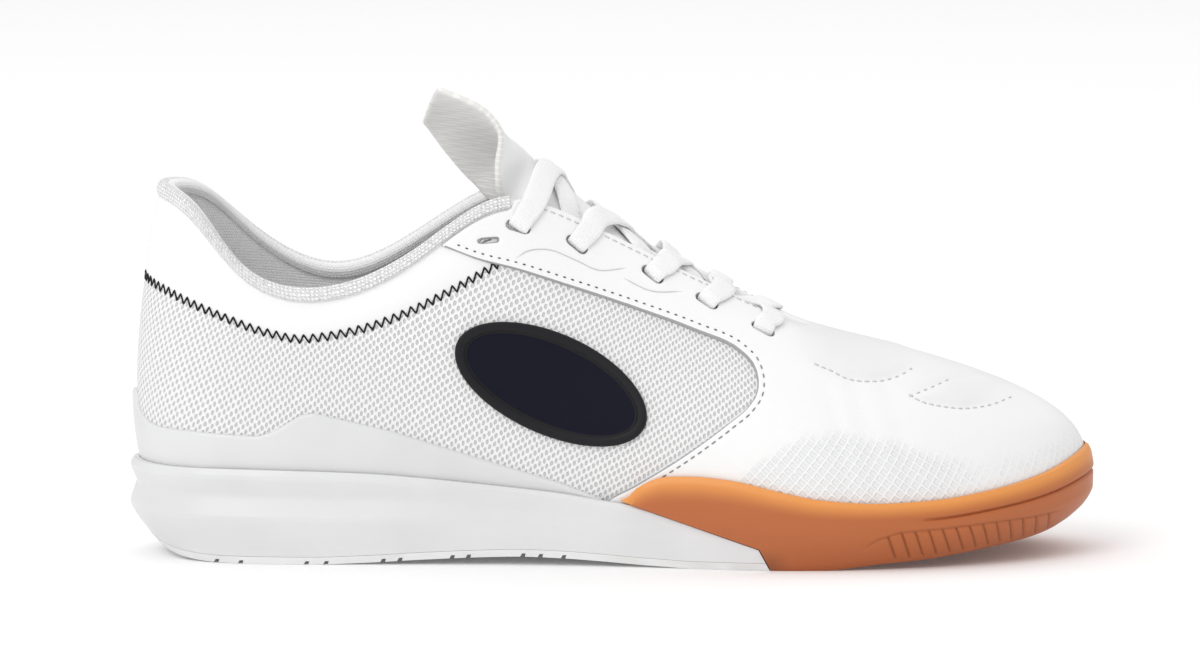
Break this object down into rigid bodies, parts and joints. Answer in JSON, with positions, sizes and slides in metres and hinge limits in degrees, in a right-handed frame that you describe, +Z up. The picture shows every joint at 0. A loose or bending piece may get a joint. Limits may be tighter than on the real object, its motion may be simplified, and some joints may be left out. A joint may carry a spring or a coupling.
{
  "type": "sneaker",
  "caption": "Low white indoor-court sneaker with a mesh quarter, smooth vamp, crossed flat laces, a stepped white heel unit and a gum rubber cup round the forefoot.",
  "frame": {"origin": "on the floor, under the middle of the shoe's box", "axes": "+X towards the toe, -Y the outer side of the foot, +Z up"},
  "size_m": [0.2956, 0.1008, 0.144],
  "materials": {
    "mesh": "open white mesh",
    "panel": "satin white coated synthetic",
    "moulded_white": "satin white moulded foam and film",
    "white_rubber": "matt white rubber",
    "gum_rubber": "satin gum rubber",
    "knit_tape": "white knitted tape",
    "lining": "grey ribbed knit",
    "lace": "flat white woven lace",
    "badge": "black moulded film with a navy middle"
  },
  "bodies": {
    "root": {"upper": "mesh", "vamp_overlay": "panel", "heel_clip": "moulded_white", "collar_binding": "knit_tape", "tongue": "panel", "insole": "lining", "midsole": "moulded_white", "rear_outsole": "white_rubber", "forefoot_outsole": "gum_rubber", "lace_bar": "lace", "lace_cross_1": "lace", "lace_cross_2": "lace", "lace_cross_3": "lace", "lace_cross_4": "lace", "side_badge": "badge"}
  },
  "joints": []
}
